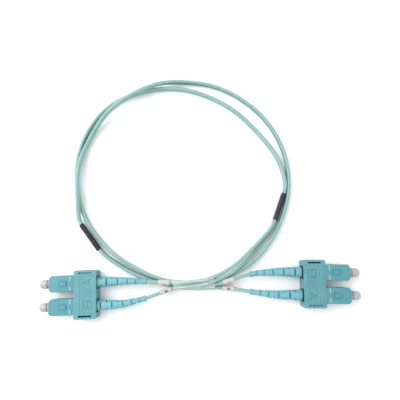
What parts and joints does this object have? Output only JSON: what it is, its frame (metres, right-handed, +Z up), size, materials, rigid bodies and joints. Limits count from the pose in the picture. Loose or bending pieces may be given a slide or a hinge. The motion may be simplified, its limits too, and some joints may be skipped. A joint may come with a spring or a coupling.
{
  "type": "duplex fibre optic patch cord",
  "caption": "Duplex SC fibre optic patch cord with slotted boots and capped ferrules, its flat cable laid in a loose flat coil held by clear film.",
  "frame": {"origin": "bottom centre of the box round the two duplex connectors, on the surface the cord lies on", "axes": "+X from the left connector to the right one, +Y from the connectors towards the loop, +Z up"},
  "size_m": [0.1804, 0.1442, 0.0094],
  "materials": {
    "housing": "satin moulded",
    "clip": "satin moulded",
    "inner_frame": "moulded",
    "ceramic": "polished ceramic",
    "nickel": "nickel-plated brass",
    "fibre_buffer": "smooth",
    "spring_steel": "drawn wire",
    "crimp_metal": "plated",
    "boot_rubber": "satin",
    "cap_plastic": "frosted",
    "jacket": "satin extruded",
    "marker_white": "satin",
    "heat_shrink": "shrunk sleeve",
    "clear_film": "clear film"
  },
  "bodies": {
    "cord_assembly": {"left_a_plug_frame": "inner_frame", "left_a_spring": "spring_steel", "left_a_stop_ring": "nickel", "left_a_crimp_sleeve": "crimp_metal", "left_a_boot": "boot_rubber", "left_a_leg": "jacket", "left_a_marker": "marker_white", "left_b_plug_frame": "inner_frame", "left_b_spring": "spring_steel", "left_b_stop_ring": "nickel", "left_b_crimp_sleeve": "crimp_metal", "left_b_boot": "boot_rubber", "left_b_leg": "jacket", "left_b_marker": "marker_white", "left_heat_shrink": "heat_shrink", "right_a_plug_frame": "inner_frame", "right_a_spring": "spring_steel", "right_a_stop_ring": "nickel", "right_a_crimp_sleeve": "crimp_metal", "right_a_boot": "boot_rubber", "right_a_leg": "jacket", "right_a_marker": "marker_white", "right_b_plug_frame": "inner_frame", "right_b_spring": "spring_steel", "right_b_stop_ring": "nickel", "right_b_crimp_sleeve": "crimp_metal", "right_b_boot": "boot_rubber", "right_b_leg": "jacket", "right_b_marker": "marker_white", "right_heat_shrink": "heat_shrink", "zip_cord": "jacket", "coil_wrap": "clear_film"},
    "left_coupler": {"left_clip_upper": "clip", "left_clip_lower": "clip", "left_a_outer_housing": "housing", "left_b_outer_housing": "housing"},
    "left_a_ferrule_set": {"left_a_ferrule": "ceramic", "left_a_ferrule_flange": "nickel", "left_a_fibre": "fibre_buffer"},
    "left_a_cap": {"left_a_dust_cap": "cap_plastic"},
    "left_b_ferrule_set": {"left_b_ferrule": "ceramic", "left_b_ferrule_flange": "nickel", "left_b_fibre": "fibre_buffer"},
    "left_b_cap": {"left_b_dust_cap": "cap_plastic"},
    "right_coupler": {"right_clip_upper": "clip", "right_clip_lower": "clip", "right_a_outer_housing": "housing", "right_b_outer_housing": "housing"},
    "right_a_ferrule_set": {"right_a_ferrule": "ceramic", "right_a_ferrule_flange": "nickel", "right_a_fibre": "fibre_buffer"},
    "right_a_cap": {"right_a_dust_cap": "cap_plastic"},
    "right_b_ferrule_set": {"right_b_ferrule": "ceramic", "right_b_ferrule_flange": "nickel", "right_b_fibre": "fibre_buffer"},
    "right_b_cap": {"right_b_dust_cap": "cap_plastic"}
  },
  "joints": [
    {"name": "left_coupler_slide", "type": "slide", "parent": "cord_assembly", "child": "left_coupler", "axis": [0.999, 0.0436, 0], "range_m": [0, 0.002]},
    {"name": "left_a_ferrule_float", "type": "slide", "parent": "cord_assembly", "child": "left_a_ferrule_set", "axis": [0.999, 0.0436, 0], "range_m": [0, 0.001], "stiffness_N_per_m": 1800, "springref_m": -0.003, "deforming": ["left_a_spring"]},
    {"name": "left_a_cap_pull", "type": "slide", "parent": "left_a_ferrule_set", "child": "left_a_cap", "axis": [-0.999, -0.0436, 0], "range_m": [0, 0.016]},
    {"name": "left_b_ferrule_float", "type": "slide", "parent": "cord_assembly", "child": "left_b_ferrule_set", "axis": [0.999, 0.0436, 0], "range_m": [0, 0.001], "stiffness_N_per_m": 1800, "springref_m": -0.003, "deforming": ["left_b_spring"]},
    {"name": "left_b_cap_pull", "type": "slide", "parent": "left_b_ferrule_set", "child": "left_b_cap", "axis": [-0.999, -0.0436, 0], "range_m": [0, 0.016]},
    {"name": "right_coupler_slide", "type": "slide", "parent": "cord_assembly", "child": "right_coupler", "axis": [-1, 0.0087, 0], "range_m": [0, 0.002]},
    {"name": "right_a_ferrule_float", "type": "slide", "parent": "cord_assembly", "child": "right_a_ferrule_set", "axis": [-1, 0.0087, 0], "range_m": [0, 0.001], "stiffness_N_per_m": 1800, "springref_m": -0.003, "deforming": ["right_a_spring"]},
    {"name": "right_a_cap_pull", "type": "slide", "parent": "right_a_ferrule_set", "child": "right_a_cap", "axis": [1, -0.0087, 0], "range_m": [0, 0.016]},
    {"name": "right_b_ferrule_float", "type": "slide", "parent": "cord_assembly", "child": "right_b_ferrule_set", "axis": [-1, 0.0087, 0], "range_m": [0, 0.001], "stiffness_N_per_m": 1800, "springref_m": -0.003, "deforming": ["right_b_spring"]},
    {"name": "right_b_cap_pull", "type": "slide", "parent": "right_b_ferrule_set", "child": "right_b_cap", "axis": [1, -0.0087, 0], "range_m": [0, 0.016]}
  ]
}
